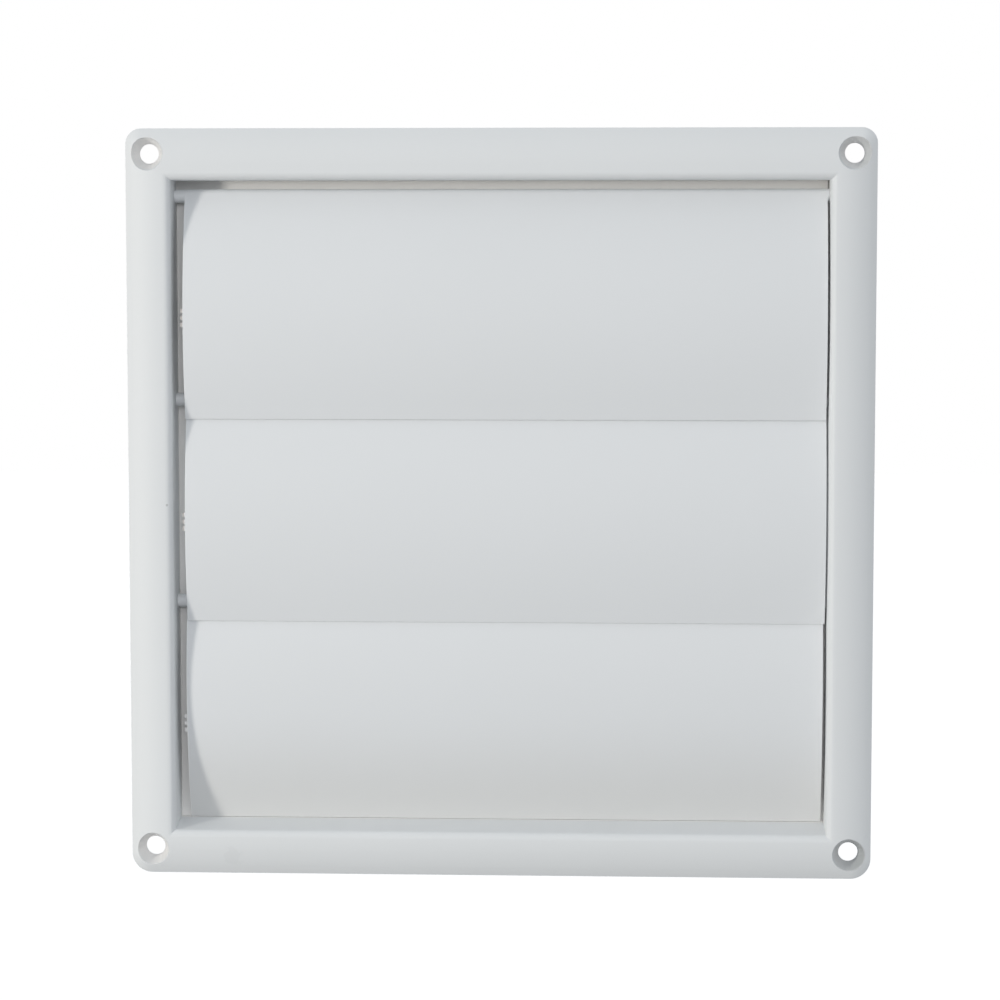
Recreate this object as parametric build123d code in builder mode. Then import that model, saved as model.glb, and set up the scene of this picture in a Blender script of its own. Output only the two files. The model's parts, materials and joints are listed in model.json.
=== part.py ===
from build123d import *
import os
from math import asin, atan, atan2, cos, hypot, radians, sin, sqrt, tan

# Outside grille for an extractor fan: a moulded frame that is screwed to the wall over a round duct,
# and three curved flaps that hang on their own pins and swing outward in the air stream.
# Origin: centre of the wall face. The front looks along -Y, +Z is up and +X is to the right.
# All sizes are millimetres and degrees.

# Duct spigot behind the frame
spigot_diameter = 148.0
spigot_wall = 2.0
spigot_length = 25.0
spigot_lead_in = 0.8

# Flat of the back plate that is left around the spigot, out to the walls of the opening
plate_rim_side = 9.2
plate_rim_top = 8.3
plate_rim_bottom = 9.7
back_plate = 2.0

# Border of the frame: a domed hollow bar on each side
side_bar = 11.55
top_bar = 13.05
bottom_bar = 11.55
frame_depth = 14.0
wall = 1.5
corner_radius_top = 4.0
corner_radius_bottom = 5.2
edge_drop = 2.6
inner_round = 1.9
crest_flat = 0.4
least_round = 0.2
sill_slope = 9.0

# Screw cups in the four corners
screw_inset_side = 5.5
screw_inset_end = 6.3
screw_hole_diameter = 5.0
countersink_diameter = 9.0
countersink_depth = 5.9
cup_rim = 1.0
cup_edge_round = 0.7
cup_floor = 1.2

# Flaps: a curved sheet with a round barrel along its top edge
flap_names = ["flap_top", "flap_middle", "flap_bottom"]
flap_thickness = 1.2
foot_thickness = 0.6
flap_sagitta = 4.6
flap_overlap = 4.95
flap_edge_round = 0.1
barrel_radius = 1.75
barrel_gap = 1.2
pivot_drop = 3.9
foot_gap = 0.06
foot_clearance = 0.4
rest_gap = 0.1

# Pins on the flap ends, and the play of the flaps along them
pin_diameter = 3.4
pin_clearance = 0.1
pin_hold = 1.1
pin_lead_in = 0.4
end_play = 3.4
flap_top_shift = 1.1
flap_middle_shift = 1.2
flap_bottom_shift = 0.85

# Broken-off moulding gate on the left end of each flap: a row of stumps near the rear of its sheet
gate_stumps = 3
gate_height = 4.8
gate_proud = 0.7
gate_below_middle = 3.0
gate_share = 0.5
gate_gap = 0.5
gate_taper = 14.0

# Spare length of a cut past the face that it leaves through
cut_margin = 1.0

# Outline of the opening and of the frame
opening_side = spigot_diameter / 2 + plate_rim_side
opening_top = spigot_diameter / 2 + plate_rim_top
opening_bottom = -spigot_diameter / 2 - plate_rim_bottom
frame_side = opening_side + side_bar
frame_top = opening_top + top_bar
frame_bottom = opening_bottom - bottom_bar
frame_middle = (frame_top + frame_bottom) / 2

# Dome of the bars: an arc from the crest line down to the shoulder of the outer wall
crest_run = min(side_bar, top_bar, bottom_bar) - inner_round - crest_flat
dome_radius = (crest_run**2 + edge_drop**2) / (2 * edge_drop)

# Sections are drawn with the span across the opening first and the height in front of the wall second
section_across = Plane(origin=(0, 0, 0), x_dir=(1, 0, 0), z_dir=(0, 0, -1))
section_upright = Plane(origin=(0, 0, 0), x_dir=(0, 0, 1), z_dir=(1, 0, 0))


def dome_section(low, high, inset):
    """Section of the frame's outer skin, drawn in by inset, with arcs that run on past the outline."""
    crest = frame_depth - inset
    radius = dome_radius - inset
    run = (crest_run - inset + radius) / 2
    shoulder = crest - radius + sqrt(radius**2 - run**2)
    base = -2 * cut_margin
    low_crest = low + crest_run
    high_crest = high - crest_run
    with BuildSketch() as section:
        with BuildLine():
            Line((low_crest, crest), (high_crest, crest))
            TangentArc((high_crest, crest), (high_crest + run, shoulder), tangent=(1, 0))
            Polyline(
                (high_crest + run, shoulder),
                (high_crest + run, base),
                (low_crest - run, base),
                (low_crest - run, shoulder),
            )
            TangentArc((low_crest, crest), (low_crest - run, shoulder), tangent=(-1, 0))
        make_face()
    return section.sketch


def opening_section(low, high, slope, grow, rear):
    """Section of the opening, widened by grow, with a rounded mouth and a floor that rises to the rear."""
    edge_round = max(inner_round - grow, least_round)
    mouth = frame_depth - grow - edge_round
    front = frame_depth + cut_margin
    floor = low - grow
    roof = high + grow
    rise = tan(radians(slope)) * (mouth - rear)
    with BuildSketch() as section:
        with BuildLine():
            Polyline((floor, mouth), (floor + rise, rear), (roof, rear), (roof, mouth))
            TangentArc((roof, mouth), (roof + edge_round, mouth + edge_round), tangent=(0, 1))
            Line((roof + edge_round, mouth + edge_round), (roof + edge_round, front))
            Line((roof + edge_round, front), (floor - edge_round, front))
            Line((floor - edge_round, front), (floor - edge_round, mouth + edge_round))
            TangentArc((floor, mouth), (floor - edge_round, mouth + edge_round), tangent=(0, 1))
        make_face()
    return section.sketch


def corner_section(inset, corner):
    """Half section of the space over the dome at an outer corner, from the corner's axis outward."""
    radius = dome_radius - inset
    reach = max(corner - inset, least_round) + cut_margin
    arc_axis = corner - crest_run
    arc_base = frame_depth - dome_radius
    front = frame_depth + cut_margin
    edge = [(out, arc_base + sqrt(radius**2 - (out - arc_axis) ** 2)) for out in (0, reach / 2, reach)]
    with BuildSketch() as section:
        with BuildLine():
            ThreePointArc(*edge)
            Polyline(edge[-1], (reach, front), (0, front), edge[0])
        make_face()
    return section.sketch


def frame_skin(inset, rear):
    """Solid under the domed border, drawn in by inset, from the level rear to the crest."""
    reach = frame_top - frame_bottom + 2 * frame_side
    upper = frame_side - corner_radius_top
    lower = frame_side - corner_radius_bottom
    upper_level = frame_top - corner_radius_top
    lower_level = frame_bottom + corner_radius_bottom
    corners = [
        (upper, upper_level, corner_radius_top),
        (-upper, upper_level, corner_radius_top),
        (-lower, lower_level, corner_radius_bottom),
        (lower, lower_level, corner_radius_bottom),
    ]
    with BuildPart() as skin:
        with BuildSketch(Plane.XZ.offset(rear)) as outline:
            with Locations((0, frame_middle)):
                Rectangle(2 * (frame_side - inset), frame_top - frame_bottom - 2 * inset)
            fillet(outline.vertices().group_by(Axis.Y)[-1], max(corner_radius_top - inset, least_round))
            fillet(outline.vertices().group_by(Axis.Y)[0], max(corner_radius_bottom - inset, least_round))
        extrude(amount=frame_depth + cut_margin - rear)
        with BuildSketch(section_across):
            add(dome_section(-frame_side, frame_side, inset))
        extrude(amount=reach, both=True, mode=Mode.INTERSECT)
        with BuildSketch(section_upright):
            add(dome_section(frame_bottom, frame_top, inset))
        extrude(amount=reach, both=True, mode=Mode.INTERSECT)
        for quarter, (across, height, corner) in enumerate(corners):
            turn = radians(90 * quarter)
            radial = Plane(
                origin=(across, 0, height),
                x_dir=(cos(turn), 0, sin(turn)),
                z_dir=(sin(turn), 0, -cos(turn)),
            )
            with BuildSketch(radial):
                add(corner_section(inset, corner))
            revolve(axis=Axis((across, 0, height), (0, -1, 0)), revolution_arc=90, mode=Mode.SUBTRACT)
    return skin.part


def frame_opening(grow, rear):
    """Solid that fills the opening, widened by grow, from the level rear to past the front."""
    reach = frame_top - frame_bottom + 2 * frame_side
    with BuildPart() as filling:
        with BuildSketch(section_across):
            add(opening_section(-opening_side, opening_side, 0, grow, rear))
        extrude(amount=reach, both=True)
        with BuildSketch(section_upright):
            add(opening_section(opening_bottom, opening_top, sill_slope, grow, rear))
        extrude(amount=reach, both=True, mode=Mode.INTERSECT)
    return filling.part


# Pivots of the flaps: evenly spaced from the top of the opening down to the sill
pivot_back = -(back_plate + barrel_gap + barrel_radius)
pivot_top = opening_top - pivot_drop
sill_run = frame_depth - inner_round - back_plate - foot_clearance - foot_thickness
sill_rise = tan(radians(sill_slope)) * sill_run
flap_foot = opening_bottom + sill_rise + foot_gap
pivot_pitch = (pivot_top - flap_foot - flap_overlap) / len(flap_names)
pivot_heights = [pivot_top - pivot_pitch * i for i in range(len(flap_names))]
bearing_radius = pin_diameter / 2 + pin_clearance

# Screw cups: levels in front of the wall, and the slope of the sunk mouth carried on to past the crest
throat_level = frame_depth - countersink_depth
cup_bottom = throat_level - cup_floor
cup_radius = countersink_diameter / 2 + cup_rim
mouth_spread = (countersink_diameter - screw_hole_diameter) / 2 / countersink_depth
mouth_radius = countersink_diameter / 2 + cut_margin * mouth_spread
mouth_level = frame_depth + cut_margin
screw_pitch_across = 2 * (frame_side - screw_inset_side)
screw_pitch_upright = frame_top - frame_bottom - 2 * screw_inset_end
screw_heights = [frame_bottom + screw_inset_end, frame_top - screw_inset_end]
screw_places = [(side * screw_pitch_across / 2, height) for side in (-1, 1) for height in screw_heights]

# Posts that carry the screw cups, rounded at the rear
with BuildPart() as posts:
    with BuildSketch(Plane.XZ.offset(cup_bottom)):
        with Locations(screw_places):
            Circle(cup_radius)
    extrude(amount=frame_depth - cup_bottom)
    fillet(posts.edges().group_by(Axis.Y)[-1], cup_edge_round)

# The bars are hollow behind: a channel between the outer skin and the opening's walls, round the posts
bar_channel = frame_skin(wall, -cut_margin) - frame_opening(wall, -2 * cut_margin) - posts.part

# Screw hole with its sunk mouth, turned about its axis, to be cut out of each cup
with BuildPart() as screw_hole:
    with BuildSketch(Plane.XY):
        with BuildLine():
            Polyline(
                (0, 0),
                (screw_hole_diameter / 2, 0),
                (screw_hole_diameter / 2, -throat_level),
                (mouth_radius, -mouth_level),
                (0, -mouth_level),
                close=True,
            )
        make_face()
    revolve(axis=Axis.Y)

# Frame: domed border, opening, back plate, spigot, screw cups and bearing holes in one moulding
with BuildPart() as frame:
    add(frame_skin(0, 0))
    add(frame_opening(0, back_plate), mode=Mode.SUBTRACT)
    add(bar_channel, mode=Mode.SUBTRACT)
    with BuildSketch(Plane.XZ):
        Circle(spigot_diameter / 2)
    extrude(amount=-spigot_length)
    chamfer(frame.edges().filter_by(GeomType.CIRCLE).sort_by(Axis.Y)[-1], spigot_lead_in)
    with BuildSketch(Plane.XZ.offset(-spigot_length - cut_margin)):
        Circle(spigot_diameter / 2 - spigot_wall)
    extrude(amount=spigot_length + back_plate + 2 * cut_margin, mode=Mode.SUBTRACT)
    with Locations([(across, 0, height) for across, height in screw_places]):
        add(screw_hole.part, mode=Mode.SUBTRACT)
    with BuildSketch(Plane.YZ):
        with Locations([(pivot_back, height) for height in pivot_heights]):
            Circle(bearing_radius)
    extrude(amount=opening_side + wall + cut_margin, both=True, mode=Mode.SUBTRACT)

# Section of a flap about its pivot: rearward first, upward second, hanging straight down
flap_drop = pivot_pitch + flap_overlap
end_turn = 2 * atan(2 * flap_sagitta / flap_drop)
outer_head = Vector(-barrel_radius * cos(end_turn), barrel_radius * sin(end_turn))
outer_foot = Vector(-barrel_radius, -flap_drop)
outer_middle = (outer_head + outer_foot) / 2 + Vector(-flap_sagitta, 0)
inner_head = outer_head * (1 - flap_thickness / barrel_radius)
inner_foot = outer_foot + Vector(foot_thickness * cos(end_turn), foot_thickness * sin(end_turn))
inner_middle = outer_middle + Vector(flap_thickness, 0)
half_chord = (outer_head - outer_foot).length / 2
sheet_radius = (half_chord**2 + flap_sagitta**2) / (2 * flap_sagitta)
sheet_centre = outer_middle + Vector(sheet_radius, 0)
gate_level = outer_middle.Y - gate_below_middle
gate_back = outer_middle.X + flap_thickness * (1 - gate_share / 2)
gate_pitch = (gate_height + gate_gap) / gate_stumps


def lean_to(foot_back):
    """Angle by which a flap leans outward when the inner edge of its foot is foot_back behind its pivot."""
    turn = atan2(inner_foot.X, -inner_foot.Y)
    return turn - asin(foot_back / hypot(inner_foot.X, inner_foot.Y))


def face_back(lean, drop):
    """Rearward place of a leaning flap's outer face at a drop below its pivot."""
    centre_back = sheet_centre.X * cos(lean) + sheet_centre.Y * sin(lean)
    centre_up = sheet_centre.Y * cos(lean) - sheet_centre.X * sin(lean)
    return centre_back - sqrt(sheet_radius**2 - (drop + centre_up) ** 2)


# At rest the bottom flap stops just short of the back plate, and each other flap lies on the one below it
bottom_lean = lean_to(-back_plate - foot_clearance - pivot_back)
middle_lean = lean_to(face_back(bottom_lean, flap_overlap) - rest_gap)
top_lean = lean_to(face_back(middle_lean, flap_overlap) - rest_gap)
flap_leans = [top_lean, middle_lean, bottom_lean]
flap_shifts = [flap_top_shift, flap_middle_shift, flap_bottom_shift]
flap_length = 2 * opening_side - end_play
pin_length = end_play + pin_hold


def make_flap(height, lean, shift):
    """One flap with its barrel, its two pins and the gate mark on its left end."""
    left_end = Plane(
        origin=(shift - flap_length / 2, pivot_back, height),
        x_dir=(0, cos(lean), -sin(lean)),
        z_dir=(1, 0, 0),
    )
    with BuildPart() as flap:
        with BuildSketch(left_end) as section:
            with BuildLine():
                ThreePointArc(outer_head, outer_middle, outer_foot)
                Line(outer_foot, inner_foot)
                ThreePointArc(inner_foot, inner_middle, inner_head)
                Line(inner_head, outer_head)
            make_face()
            fillet(section.vertices().sort_by(Axis.Y)[:2], flap_edge_round)
            Circle(barrel_radius)
        extrude(amount=flap_length)
        with BuildSketch(left_end):
            Circle(pin_diameter / 2)
        extrude(amount=-pin_length)
        with BuildSketch(left_end.offset(flap_length)):
            Circle(pin_diameter / 2)
        extrude(amount=pin_length)
        pin_tips = flap.edges().filter_by(GeomType.CIRCLE).sort_by(Axis.X)
        chamfer([pin_tips[0], pin_tips[-1]], pin_lead_in)
        with BuildSketch(left_end):
            with Locations((gate_back, gate_level)):
                with GridLocations(0, gate_pitch, 1, gate_stumps):
                    Rectangle(gate_share * flap_thickness, gate_pitch - gate_gap)
        extrude(amount=-gate_proud, taper=gate_taper)
    return flap


flaps = [make_flap(*place) for place in zip(pivot_heights, flap_leans, flap_shifts)]

# Write one file for each moulding
os.makedirs("parts", exist_ok=True)
frame.part.label = "frame"
export_step(frame.part, "parts/frame.step")
for name, flap in zip(flap_names, flaps):
    flap.part.label = name
    export_step(flap.part, f"parts/{name}.step")
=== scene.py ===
import json
import math

import bpy
import numpy as np
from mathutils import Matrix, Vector

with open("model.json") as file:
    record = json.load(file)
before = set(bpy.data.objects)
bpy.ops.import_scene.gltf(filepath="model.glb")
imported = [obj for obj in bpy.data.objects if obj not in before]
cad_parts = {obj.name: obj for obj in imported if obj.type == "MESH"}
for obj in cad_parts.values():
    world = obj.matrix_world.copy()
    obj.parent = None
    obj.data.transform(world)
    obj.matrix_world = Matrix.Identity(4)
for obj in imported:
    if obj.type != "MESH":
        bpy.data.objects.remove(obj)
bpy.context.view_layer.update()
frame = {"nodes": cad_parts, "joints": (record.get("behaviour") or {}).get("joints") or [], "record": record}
scene = bpy.context.scene
nodes = frame["nodes"]

# Frame: one injection moulding in white ABS, with a domed hollow border, a deep opening with a drip sill, a
# sunk screw hole in each corner and a round duct spigot behind. Four screws through the corners hold it to
# the wall.
FRAME_WHITE = (0.800, 0.815, 0.825, 1.0)
FRAME_SHADE = (0.770, 0.785, 0.793, 1.0)
FRAME_EDGE_WIDTH = 0.0006
FRAME_EDGE_ANGLE = 33.0
FRAME_EDGE_STEPS = 3
FRAME_CREASE_ANGLE = 28.0
FRAME_EVENNESS = 100
JOIN_DISTANCE = 1e-6
MITRE_SLACK = 2e-6
MITRE_LEAST_RUN = 2e-5


def soften(piece, crease_angle):
    """Shades a piece as one smooth skin, which breaks at every edge sharper than crease_angle and at the
    mitres of the border, whose edges run as far across as they run up or down."""
    group = bpy.data.node_groups.new(piece.name + "_skin", "GeometryNodeTree")
    group.interface.new_socket("Geometry", in_out="INPUT", socket_type="NodeSocketGeometry")
    group.interface.new_socket("Geometry", in_out="OUTPUT", socket_type="NodeSocketGeometry")
    new, link = group.nodes.new, group.links.new
    start, end = new("NodeGroupInput"), new("NodeGroupOutput")
    join = new("GeometryNodeMergeByDistance")
    join.inputs["Distance"].default_value = JOIN_DISTANCE
    smooth, crease = new("GeometryNodeSetShadeSmooth"), new("GeometryNodeSetShadeSmooth")
    crease.domain = "EDGE"
    crease.inputs["Shade Smooth"].default_value = False
    fold = new("GeometryNodeInputMeshEdgeAngle")
    ends = new("GeometryNodeInputMeshEdgeVertices")
    run, size = new("ShaderNodeVectorMath"), new("ShaderNodeVectorMath")
    run.operation, size.operation = "SUBTRACT", "ABSOLUTE"
    parts = new("ShaderNodeSeparateXYZ")
    sharp, level, aslant, mitre, broken = [new("ShaderNodeMath") for _ in range(5)]
    sharp.operation, sharp.inputs[1].default_value = "GREATER_THAN", math.radians(crease_angle)
    level.operation, level.inputs[2].default_value = "COMPARE", MITRE_SLACK
    aslant.operation, aslant.inputs[1].default_value = "GREATER_THAN", MITRE_LEAST_RUN
    mitre.operation, broken.operation = "MULTIPLY", "MAXIMUM"
    link(start.outputs[0], join.inputs["Geometry"])
    link(join.outputs["Geometry"], smooth.inputs["Geometry"])
    link(smooth.outputs["Geometry"], crease.inputs["Geometry"])
    link(crease.outputs["Geometry"], end.inputs[0])
    link(fold.outputs["Unsigned Angle"], sharp.inputs[0])
    link(ends.outputs["Position 1"], run.inputs[0])
    link(ends.outputs["Position 2"], run.inputs[1])
    link(run.outputs["Vector"], size.inputs[0])
    link(size.outputs["Vector"], parts.inputs[0])
    link(parts.outputs["X"], level.inputs[0])
    link(parts.outputs["Z"], level.inputs[1])
    link(parts.outputs["X"], aslant.inputs[0])
    link(level.outputs[0], mitre.inputs[0])
    link(aslant.outputs[0], mitre.inputs[1])
    link(sharp.outputs[0], broken.inputs[0])
    link(mitre.outputs[0], broken.inputs[1])
    link(broken.outputs[0], crease.inputs["Selection"])
    skin = piece.modifiers.new("skin", "NODES")
    skin.node_group = group


def moulded_skin(piece, edge_angle, edge_width, edge_steps, crease_angle, evenness):
    """Joins a CAD node's loose triangles, rounds the edges sharper than edge_angle, softens the rest and lets
    the wide faces set the shading, by as much as evenness says."""
    join = piece.modifiers.new("join", "WELD")
    join.merge_threshold = JOIN_DISTANCE
    edge = piece.modifiers.new("edge", "BEVEL")
    edge.limit_method = "ANGLE"
    edge.angle_limit = math.radians(edge_angle)
    edge.width = edge_width
    edge.segments = edge_steps
    soften(piece, crease_angle)
    evenly = piece.modifiers.new("evenly", "WEIGHTED_NORMAL")
    evenly.keep_sharp = True
    evenly.weight = evenness


ABS_IOR = 1.5
SATIN = 0.55
SATIN_SPREAD = 0.04
CLOUD_SCALE = 22.0
CLOUD_DETAIL = 3.0
GRAIN_SCALE = 2600.0
GRAIN_DETAIL = 2.0
GRAIN_STRENGTH = 0.10
GRAIN_DEPTH = 0.00005


def moulded_white(name, light, shade):
    """Satin white plastic: a faint cloudiness in the colour and in the gloss, and the grain of a spark-eroded
    mould as bump."""
    material = bpy.data.materials.new(name)
    material.use_nodes = True
    tree = material.node_tree
    tree.nodes.clear()
    out = tree.nodes.new("ShaderNodeOutputMaterial")
    plastic = tree.nodes.new("ShaderNodeBsdfPrincipled")
    plastic.name = "plastic"
    plastic.inputs["IOR"].default_value = ABS_IOR
    place = tree.nodes.new("ShaderNodeTexCoord")
    place.name = "place"
    cloud = tree.nodes.new("ShaderNodeTexNoise")
    cloud.inputs["Scale"].default_value = CLOUD_SCALE
    cloud.inputs["Detail"].default_value = CLOUD_DETAIL
    tint = tree.nodes.new("ShaderNodeMix")
    tint.data_type = "RGBA"
    tint.inputs["A"].default_value = shade
    tint.inputs["B"].default_value = light
    polish = tree.nodes.new("ShaderNodeMapRange")
    polish.inputs["To Min"].default_value = SATIN - SATIN_SPREAD
    polish.inputs["To Max"].default_value = SATIN + SATIN_SPREAD
    grain = tree.nodes.new("ShaderNodeTexNoise")
    grain.inputs["Scale"].default_value = GRAIN_SCALE
    grain.inputs["Detail"].default_value = GRAIN_DETAIL
    bump = tree.nodes.new("ShaderNodeBump")
    bump.inputs["Strength"].default_value = GRAIN_STRENGTH
    bump.inputs["Distance"].default_value = GRAIN_DEPTH
    link = tree.links.new
    link(place.outputs["Object"], cloud.inputs["Vector"])
    link(place.outputs["Object"], grain.inputs["Vector"])
    link(cloud.outputs["Fac"], tint.inputs["Factor"])
    link(cloud.outputs["Fac"], polish.inputs["Value"])
    link(tint.outputs["Result"], plastic.inputs["Base Color"])
    link(polish.outputs["Result"], plastic.inputs["Roughness"])
    link(grain.outputs["Fac"], bump.inputs["Height"])
    link(bump.outputs["Normal"], plastic.inputs["Normal"])
    link(plastic.outputs["BSDF"], out.inputs["Surface"])
    return material


def colour_over(material, mask, colour):
    """Lays a colour over the plastic's own, as far as the mask socket says."""
    tree = material.node_tree
    base = tree.nodes["plastic"].inputs["Base Color"]
    under = base.links[0].from_socket
    cover = tree.nodes.new("ShaderNodeMix")
    cover.data_type = "RGBA"
    cover.inputs["B"].default_value = colour
    tree.links.new(mask, cover.inputs["Factor"])
    tree.links.new(under, cover.inputs["A"])
    tree.links.new(cover.outputs["Result"], base)


def smooth_step(material, value, none, full, strength=1.0):
    """Socket that goes smoothly from 0, where the value socket is none, to strength, where it is full."""
    tree = material.node_tree
    step = tree.nodes.new("ShaderNodeMapRange")
    step.interpolation_type = "SMOOTHSTEP"
    step.inputs["From Min"].default_value = none
    step.inputs["From Max"].default_value = full
    step.inputs["To Max"].default_value = strength
    tree.links.new(value, step.inputs["Value"])
    return step.outputs["Result"]


def ramp_mask(material, way, none, full):
    """Mask that goes along one axis of the grille, from 0 at the place none to 1 at the place full."""
    tree = material.node_tree
    parts = tree.nodes.new("ShaderNodeSeparateXYZ")
    tree.links.new(tree.nodes["place"].outputs["Object"], parts.inputs[0])
    return smooth_step(material, parts.outputs[way], none, full)


def both_masks(material, first, second):
    """Mask that holds only where two masks meet."""
    tree = material.node_tree
    meet = tree.nodes.new("ShaderNodeMath")
    meet.operation = "MULTIPLY"
    tree.links.new(first, meet.inputs[0])
    tree.links.new(second, meet.inputs[1])
    return meet.outputs[0]


frame_plastic = moulded_white("frame_white_abs", FRAME_WHITE, FRAME_SHADE)

# Recess: the back plate and the deepest part of the opening's walls are painted a paler, warmer white than
# the face: painted light for the light that bounces about inside the opening. The change runs over the depth
# between the two places.
RECESS_PAINTED_LIGHT = (0.870, 0.860, 0.842, 1.0)
RECESS_FRONT = -0.0042
RECESS_DEEP = -0.0024
colour_over(frame_plastic, ramp_mask(frame_plastic, "Y", RECESS_FRONT, RECESS_DEEP), RECESS_PAINTED_LIGHT)

# Fleck and scuff: a small dark fleck on the left bar and a faint rub on the bottom bar, both with ragged
# edges. A mark is full in its core, and its specks are small beside its radius.
FLECK_GREY = (0.160, 0.160, 0.155, 1.0)
FLECK_PLACE = (-0.0846, -0.0139, 0.0)
FLECK_RADIUS = 0.00038
FLECK_RAGGED = 0.6
FLECK_STRENGTH = 0.35
SCUFF_GREY = (0.560, 0.570, 0.575, 1.0)
SCUFF_PLACE = (-0.0685, -0.0134, -0.0905)
SCUFF_RADIUS = 0.0030
SCUFF_RAGGED = 1.4
SCUFF_STRENGTH = 0.12
MARK_CORE = 0.6
MARK_SPECKS = 2.0


def distance_from(material, vector, spot):
    """Socket with the distance from a spot to the place that the vector socket gives."""
    tree = material.node_tree
    away = tree.nodes.new("ShaderNodeVectorMath")
    away.operation = "DISTANCE"
    away.inputs[1].default_value = spot
    tree.links.new(vector, away.inputs[0])
    return away.outputs["Value"]


def mark_mask(material, spot, radius, ragged, strength):
    """Mask of one small mark: strength in its core and 0 from radius on, as measured from spot. Noise moves
    both in and out by up to half of ragged times radius."""
    tree = material.node_tree
    place = tree.nodes["place"].outputs["Object"]
    speckle = tree.nodes.new("ShaderNodeTexNoise")
    speckle.inputs["Scale"].default_value = MARK_SPECKS / radius
    rough = tree.nodes.new("ShaderNodeMath")
    rough.operation = "MULTIPLY_ADD"
    rough.inputs[1].default_value = ragged * radius
    tree.links.new(place, speckle.inputs["Vector"])
    tree.links.new(speckle.outputs["Fac"], rough.inputs[0])
    tree.links.new(distance_from(material, place, spot), rough.inputs[2])
    rim = radius * (1.0 + ragged / 2)
    core = radius * (MARK_CORE + ragged / 2)
    return smooth_step(material, rough.outputs[0], rim, core, strength)


fleck = mark_mask(frame_plastic, FLECK_PLACE, FLECK_RADIUS, FLECK_RAGGED, FLECK_STRENGTH)
colour_over(frame_plastic, fleck, FLECK_GREY)
scuff = mark_mask(frame_plastic, SCUFF_PLACE, SCUFF_RADIUS, SCUFF_RAGGED, SCUFF_STRENGTH)
colour_over(frame_plastic, scuff, SCUFF_GREY)

# Cups: the four sunk screw holes are painted a little paler than the face, as painted light in these hollows.
# The two on the right also carry painted shade, from its start across to where it is thick, both measured
# from the cup's axis.
MM = 0.001
# Painted light: the cups' colour is paler than the face's.
CUP_PAINTED_LIGHT = (0.865, 0.857, 0.850, 1.0)
CUP_RADIUS = 0.0037
CUP_FADE = 0.0006
# Painted shade in the two right-hand cups, darker towards the right.
UPPER_CUP_PAINTED_SHADE = (0.635, 0.650, 0.655, 1.0)
UPPER_CUP_SHADE_START = -0.001
UPPER_CUP_SHADE_THICK = 0.003
LOWER_CUP_PAINTED_SHADE = (0.460, 0.480, 0.485, 1.0)
LOWER_CUP_SHADE_START = -0.006
LOWER_CUP_SHADE_THICK = 0.004
fixing = next(mount for mount in frame["record"]["mounts"] if mount["name"] == "wall_fixing")
cup_right = fixing["pos_m"][0] + fixing["dims"]["spacing_x_mm"] * MM / 2
cup_left = fixing["pos_m"][0] - fixing["dims"]["spacing_x_mm"] * MM / 2
cup_upper = fixing["pos_m"][2] + fixing["dims"]["spacing_y_mm"] * MM / 2
cup_lower = fixing["pos_m"][2] - fixing["dims"]["spacing_y_mm"] * MM / 2


def cup_mask(material, across, height):
    """Mask of the screw cup whose axis runs along Y through the place across and height."""
    tree = material.node_tree
    flat = tree.nodes.new("ShaderNodeVectorMath")
    flat.operation = "MULTIPLY"
    flat.inputs[1].default_value = (1.0, 0.0, 1.0)
    tree.links.new(tree.nodes["place"].outputs["Object"], flat.inputs[0])
    away = distance_from(material, flat.outputs["Vector"], (across, 0.0, height))
    return smooth_step(material, away, CUP_RADIUS + CUP_FADE, CUP_RADIUS)


def paint_cup_shade(material, height, start, thick, painted_shade):
    """Painted shade in the right-hand cup at a height, which grows from left to right."""
    wall = ramp_mask(material, "X", cup_right + start, cup_right + thick)
    colour_over(material, both_masks(material, cup_mask(material, cup_right, height), wall), painted_shade)


for across in (cup_left, cup_right):
    for height in (cup_upper, cup_lower):
        colour_over(frame_plastic, cup_mask(frame_plastic, across, height), CUP_PAINTED_LIGHT)
paint_cup_shade(frame_plastic, cup_upper, UPPER_CUP_SHADE_START, UPPER_CUP_SHADE_THICK, UPPER_CUP_PAINTED_SHADE)
paint_cup_shade(frame_plastic, cup_lower, LOWER_CUP_SHADE_START, LOWER_CUP_SHADE_THICK, LOWER_CUP_PAINTED_SHADE)

# Slit: a short dark upright mark of painted shade on the back plate, at the right end of the strip over the
# top flap, standing in for a narrow slot in shadow. Its box lies inside the frame, so that the outer wall
# stays clean.
SLIT_PAINTED_SHADE = (0.280, 0.280, 0.270, 1.0)
SLIT_LOW = (0.0830, -0.0045, 0.0803)
SLIT_HIGH = (0.0838, -0.0015, 0.0826)
SLIT_FADE = 0.0002


def box_mask(material, low, high, fade):
    """Mask that is 1 inside the box from low to high and falls to 0 over the width fade outside each face."""
    mask = None
    for way, start, end in zip("XYZ", low, high):
        above = ramp_mask(material, way, start - fade, start)
        below = ramp_mask(material, way, end + fade, end)
        inside = both_masks(material, above, below)
        mask = inside if mask is None else both_masks(material, mask, inside)
    return mask


def dress(piece, material):
    """Puts one material on every slot of a CAD node."""
    if not piece.data.materials:
        piece.data.materials.append(material)
    for index in range(len(piece.data.materials)):
        piece.data.materials[index] = material


colour_over(frame_plastic, box_mask(frame_plastic, SLIT_LOW, SLIT_HIGH, SLIT_FADE), SLIT_PAINTED_SHADE)
moulded_skin(
    nodes["frame"], FRAME_EDGE_ANGLE, FRAME_EDGE_WIDTH, FRAME_EDGE_STEPS, FRAME_CREASE_ANGLE, FRAME_EVENNESS
)
dress(nodes["frame"], frame_plastic)
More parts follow.
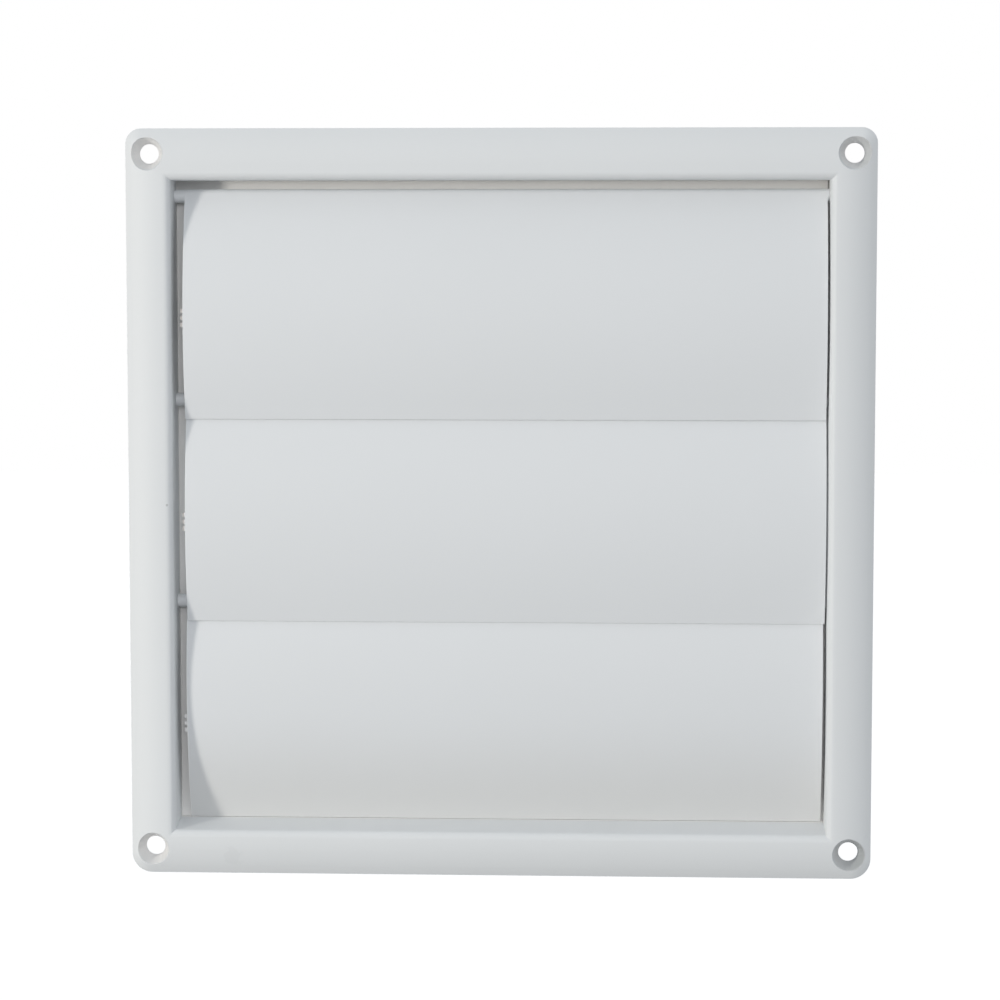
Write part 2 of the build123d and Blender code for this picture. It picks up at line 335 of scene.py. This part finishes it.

# Flaps: three like mouldings in the same white ABS, each a thin curved sheet with a barrel along its top and
# a pin at each end. They hang in the frame's bearing holes and lap over each other like shingles. Below the
# pin on the left end, the stumps of the moulding gate carry painted shade on the top and middle flaps and
# painted light on the bottom flap, and the bottom flap is painted darker towards its foot as painted shade.
FLAP_WHITE = (0.800, 0.815, 0.830, 1.0)
FLAP_SHADE = (0.780, 0.795, 0.808, 1.0)
FLAP_EDGE_WIDTH = 0.00022
FLAP_EDGE_ANGLE = 60.0
FLAP_EDGE_STEPS = 2
FLAP_CREASE_ANGLE = 44.0
FLAP_EVENNESS = 50
# Gate stumps: painted shade on the top and middle flaps, painted light on the bottom flap.
GATE_PAINTED_SHADE = (0.440, 0.425, 0.410, 1.0)
GATE_PAINTED_LIGHT = (0.880, 0.870, 0.860, 1.0)
GATE_OUTER = -0.0806
GATE_INNER = -0.0804
GATE_DROP = 0.020
# Painted shade: the bottom flap is darker towards its foot.
FOOT_PAINTED_SHADE = (0.710, 0.711, 0.703, 1.0)
FOOT_SHADE_TOP = -0.052
FOOT_SHADE_LOW = -0.084
for hinge in frame["joints"]:
    flap, pivot = hinge["child"], hinge["pos_m"][2]
    flap_plastic = moulded_white(flap + "_white_abs", FLAP_WHITE, FLAP_SHADE)
    colour_over(flap_plastic, ramp_mask(flap_plastic, "Z", FOOT_SHADE_TOP, FOOT_SHADE_LOW), FOOT_PAINTED_SHADE)
    left_end = ramp_mask(flap_plastic, "X", GATE_INNER, GATE_OUTER)
    below_pin = ramp_mask(flap_plastic, "Z", pivot - GATE_DROP / 2, pivot - GATE_DROP)
    # The bottom flap's stumps get painted light, the others painted shade.
    gate_paint = GATE_PAINTED_LIGHT if flap == "flap_bottom" else GATE_PAINTED_SHADE
    colour_over(flap_plastic, both_masks(flap_plastic, left_end, below_pin), gate_paint)
    moulded_skin(
        nodes[flap], FLAP_EDGE_ANGLE, FLAP_EDGE_WIDTH, FLAP_EDGE_STEPS, FLAP_CREASE_ANGLE, FLAP_EVENNESS
    )
    dress(nodes[flap], flap_plastic)

# Floor: a plain pale floor well below the grille, which hangs on its screws as on a wall. It glows only for
# the rays that show a background, so that it looks pale and still takes a shadow.
FLOOR_LEVEL = -0.45
FLOOR_REACH = 6.0
FLOOR_GREY = 0.40
FLOOR_GLOW = 0.80
floor_mesh = bpy.data.meshes.new("floor")
corners = np.array([(-1, -1, 0), (1, -1, 0), (1, 1, 0), (-1, 1, 0)]) * FLOOR_REACH
corners[:, 2] = FLOOR_LEVEL
floor_mesh.from_pydata(corners.tolist(), [], [(0, 1, 2, 3)])
floor = bpy.data.objects.new("floor", floor_mesh)
scene.collection.objects.link(floor)


def background_rays(tree):
    """Socket that is 1 for the rays that show a background: from the camera, mirrored or through glass."""
    rays = tree.nodes.new("ShaderNodeLightPath")
    first, second = tree.nodes.new("ShaderNodeMath"), tree.nodes.new("ShaderNodeMath")
    first.operation = second.operation = "MAXIMUM"
    tree.links.new(rays.outputs["Is Camera Ray"], first.inputs[0])
    tree.links.new(rays.outputs["Is Glossy Ray"], first.inputs[1])
    tree.links.new(rays.outputs["Is Transmission Ray"], second.inputs[0])
    tree.links.new(first.outputs[0], second.inputs[1])
    return second.outputs[0]


floor_paint = bpy.data.materials.new("floor_white")
floor_paint.use_nodes = True
tree = floor_paint.node_tree
tree.nodes.clear()
out = tree.nodes.new("ShaderNodeOutputMaterial")
paint = tree.nodes.new("ShaderNodeBsdfDiffuse")
paint.inputs["Color"].default_value = (FLOOR_GREY, FLOOR_GREY, FLOOR_GREY, 1.0)
glow = tree.nodes.new("ShaderNodeEmission")
seen = tree.nodes.new("ShaderNodeMath")
seen.operation = "MULTIPLY"
seen.inputs[1].default_value = FLOOR_GLOW
both = tree.nodes.new("ShaderNodeAddShader")
tree.links.new(background_rays(tree), seen.inputs[0])
tree.links.new(seen.outputs["Value"], glow.inputs["Strength"])
tree.links.new(paint.outputs["BSDF"], both.inputs[0])
tree.links.new(glow.outputs["Emission"], both.inputs[1])
tree.links.new(both.outputs["Shader"], out.inputs["Surface"])
floor_mesh.materials.append(floor_paint)

# Room: a pale surround that shows as plain white. Its light is stronger to the right, ahead of the grille,
# overhead and, most of all, behind the grille.
ROOM_TINT = (0.905, 0.957, 1.0, 1.0)
ROOM_EVEN = 0.27
ROOM_RIGHT = 0.12
ROOM_OVERHEAD = 0.30
ROOM_AHEAD = 0.22
ROOM_BEHIND = 0.42
ROOM_WHITE = (1.0, 1.0, 1.0, 1.0)
world = bpy.data.worlds.new("white_room")
scene.world = world
world.use_nodes = True
tree = world.node_tree
tree.nodes.clear()
out = tree.nodes.new("ShaderNodeOutputWorld")
light = tree.nodes.new("ShaderNodeBackground")
light.inputs["Color"].default_value = ROOM_TINT
white = tree.nodes.new("ShaderNodeBackground")
white.inputs["Color"].default_value = ROOM_WHITE
way = tree.nodes.new("ShaderNodeTexCoord")
lean = tree.nodes.new("ShaderNodeVectorMath")
lean.operation = "DOT_PRODUCT"
lean.inputs[1].default_value = (ROOM_RIGHT, (ROOM_BEHIND - ROOM_AHEAD) / 2, ROOM_OVERHEAD)
parts = tree.nodes.new("ShaderNodeSeparateXYZ")
along = tree.nodes.new("ShaderNodeMath")
along.operation = "ABSOLUTE"
walls = tree.nodes.new("ShaderNodeMath")
walls.operation = "MULTIPLY_ADD"
walls.inputs[1].default_value = (ROOM_BEHIND + ROOM_AHEAD) / 2
walls.inputs[2].default_value = ROOM_EVEN
level = tree.nodes.new("ShaderNodeMath")
level.operation = "ADD"
pick = tree.nodes.new("ShaderNodeMixShader")
tree.links.new(way.outputs["Generated"], lean.inputs[0])
tree.links.new(way.outputs["Generated"], parts.inputs[0])
tree.links.new(parts.outputs["Y"], along.inputs[0])
tree.links.new(along.outputs["Value"], walls.inputs[0])
tree.links.new(lean.outputs["Value"], level.inputs[0])
tree.links.new(walls.outputs["Value"], level.inputs[1])
tree.links.new(level.outputs["Value"], light.inputs["Strength"])
tree.links.new(background_rays(tree), pick.inputs["Fac"])
tree.links.new(light.outputs["Background"], pick.inputs[1])
tree.links.new(white.outputs["Background"], pick.inputs[2])
tree.links.new(pick.outputs["Shader"], out.inputs["Surface"])

# Lights: a key softbox well to the left of the camera and a little above the grille's middle, and a fill
# softbox above the camera, which reaches into the narrow gaps beside the flaps.
LIT_PLACE = Vector((0.0, -0.01, 0.0))
KEY_TURN = -50.0
KEY_RISE = 3.0
KEY_SIZE = 0.20
KEY_POWER = 10.0
KEY_TINT = (1.0, 0.965, 0.900)
FILL_TURN = 4.0
FILL_RISE = 14.0
FILL_SIZE = 0.40
FILL_POWER = 3.8
FILL_TINT = (0.98, 0.98, 1.0)
SOFTBOX_FAR = 1.6


def stand_off(thing, target, turn, rise, far):
    """Sets a thing far from its target, turned right and raised by angles in degrees, and aims it there."""
    turn, rise = math.radians(turn), math.radians(rise)
    away = Vector((math.sin(turn) * math.cos(rise), -math.cos(turn) * math.cos(rise), math.sin(rise)))
    thing.location = target + far * away
    thing.rotation_euler = (target - thing.location).to_track_quat("-Z", "Y").to_euler()
    scene.collection.objects.link(thing)


def softbox(name, turn, rise, size, power, tint):
    """A round soft light that shines on the grille's middle."""
    lamp = bpy.data.lights.new(name, "AREA")
    lamp.shape = "DISK"
    lamp.size = size
    lamp.energy = power
    lamp.color = tint
    stand_off(bpy.data.objects.new(name, lamp), LIT_PLACE, turn, rise, SOFTBOX_FAR)


softbox("key", KEY_TURN, KEY_RISE, KEY_SIZE, KEY_POWER, KEY_TINT)
softbox("fill", FILL_TURN, FILL_RISE, FILL_SIZE, FILL_POWER, FILL_TINT)

# Camera: a long lens, a little to the right of the grille's middle and a little above it, so that the left
# and the bottom walls of the opening show.
VIEW_TARGET = Vector((0.00005, -0.009, 0.00125))
VIEW_TURN = 2.75
VIEW_RISE = 4.86
VIEW_FAR = 0.7643
VIEW_SENSOR = 36.0
VIEW_LENS = 108.0
camera_data = bpy.data.cameras.new("camera")
camera_data.sensor_width = VIEW_SENSOR
camera_data.lens = VIEW_LENS
camera = bpy.data.objects.new("camera", camera_data)
stand_off(camera, VIEW_TARGET, VIEW_TURN, VIEW_RISE, VIEW_FAR)
scene.camera = camera
scene.view_settings.view_transform = "Standard"
